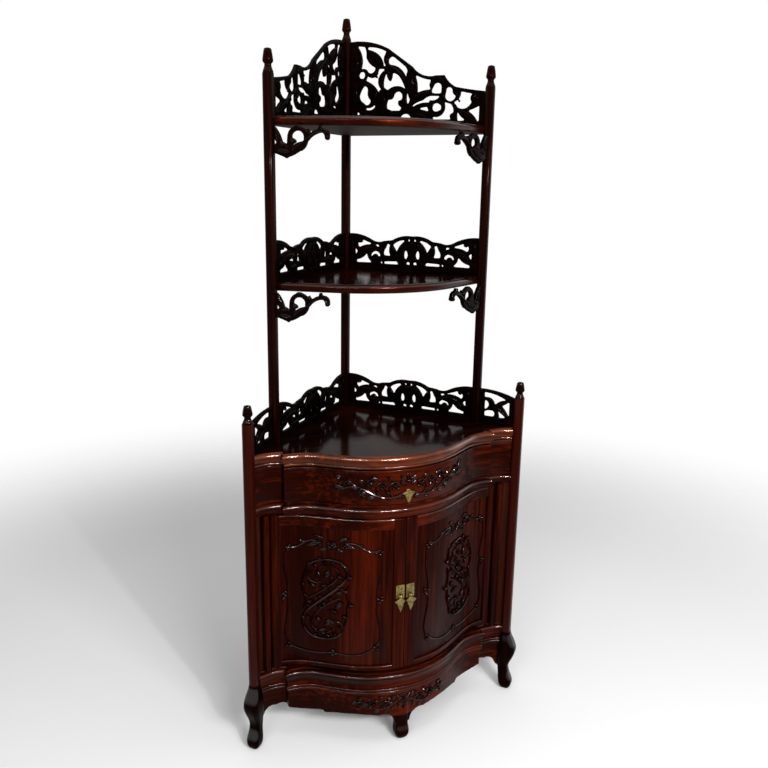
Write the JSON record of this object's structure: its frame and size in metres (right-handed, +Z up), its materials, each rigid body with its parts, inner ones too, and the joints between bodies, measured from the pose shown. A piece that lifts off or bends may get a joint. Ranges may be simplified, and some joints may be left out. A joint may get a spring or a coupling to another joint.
{
  "type": "corner etagere",
  "caption": "Carved rosewood corner etagere with open shelves over a bow-fronted cabinet that has a drawer and hinged doors.",
  "frame": {"origin": "middle of the object's footprint at floor level", "axes": "+Z up, -Y out of the cabinet's front, +X to the right seen from the front"},
  "size_m": [0.8198, 0.5169, 1.9],
  "materials": {
    "rosewood": "dark red-brown lacquer, glossy",
    "brass": "worn, slightly dull"
  },
  "bodies": {
    "cabinet": {"rear_leg": "rosewood", "front_post_left": "rosewood", "front_post_right": "rosewood", "front_finials": "rosewood", "foot_left": "rosewood", "foot_right": "rosewood", "foot_centre": "rosewood", "apron": "rosewood", "base_moulding": "rosewood", "bottom_board": "rosewood", "waist_moulding": "rosewood", "drawer_board": "rosewood", "cabinet_top": "rosewood", "back_panel_left": "rosewood", "back_panel_right": "rosewood", "frieze_left": "rosewood", "frieze_right": "rosewood", "door_jamb_left": "rosewood", "door_jamb_right": "rosewood", "drawer_runners": "rosewood", "rear_post": "rosewood", "shelf_post_left": "rosewood", "shelf_post_right": "rosewood", "upper_finials": "rosewood", "middle_shelf": "rosewood", "top_shelf": "rosewood", "base_gallery_left": "rosewood", "base_gallery_right": "rosewood", "base_gallery_end_left": "rosewood", "base_gallery_end_right": "rosewood", "middle_gallery_left": "rosewood", "middle_gallery_right": "rosewood", "top_gallery_left": "rosewood", "top_gallery_right": "rosewood", "middle_bracket_left": "rosewood", "middle_bracket_right": "rosewood", "top_bracket_left": "rosewood", "top_bracket_right": "rosewood"},
    "drawer": {"drawer_front": "rosewood", "drawer_side_left": "rosewood", "drawer_side_right": "rosewood", "drawer_back": "rosewood", "drawer_bottom": "rosewood", "drawer_pull_plate": "brass"},
    "drawer_drop": {"drawer_pull_drop": "brass"},
    "left_door": {"door_hinge_stile_left": "rosewood", "door_meeting_stile_left": "rosewood", "door_rails_left": "rosewood", "door_panel_left": "rosewood", "door_pull_plate_left": "brass"},
    "left_drop": {"door_pull_drop_left": "brass"},
    "right_door": {"door_hinge_stile_right": "rosewood", "door_meeting_stile_right": "rosewood", "door_rails_right": "rosewood", "door_panel_right": "rosewood", "door_pull_plate_right": "brass"},
    "right_drop": {"door_pull_drop_right": "brass"}
  },
  "joints": [
    {"name": "left_door_hinge", "type": "hinge", "parent": "cabinet", "child": "left_door", "pos_m": [-0.314, -0.115, 0.429], "axis": [0, 0, -1], "range_deg": [0, 95]},
    {"name": "right_door_hinge", "type": "hinge", "parent": "cabinet", "child": "right_door", "pos_m": [0.314, -0.115, 0.429], "axis": [0, 0, 1], "range_deg": [0, 95]},
    {"name": "drawer_slide", "type": "slide", "parent": "cabinet", "child": "drawer", "axis": [0, -1, 0], "range_m": [0, 0.17]},
    {"name": "drawer_drop_hinge", "type": "hinge", "parent": "drawer", "child": "drawer_drop", "pos_m": [0, -0.25474, 0.72008], "axis": [-1, 0, 0], "range_deg": [0, 80]},
    {"name": "left_drop_hinge", "type": "hinge", "parent": "left_door", "child": "left_drop", "pos_m": [-0.01426, -0.25085, 0.43], "axis": [-0.9988, 0.0494, 0], "range_deg": [0, 80]},
    {"name": "right_drop_hinge", "type": "hinge", "parent": "right_door", "child": "right_drop", "pos_m": [0.01426, -0.25085, 0.43], "axis": [-0.9988, -0.0494, 0], "range_deg": [0, 80]}
  ]
}
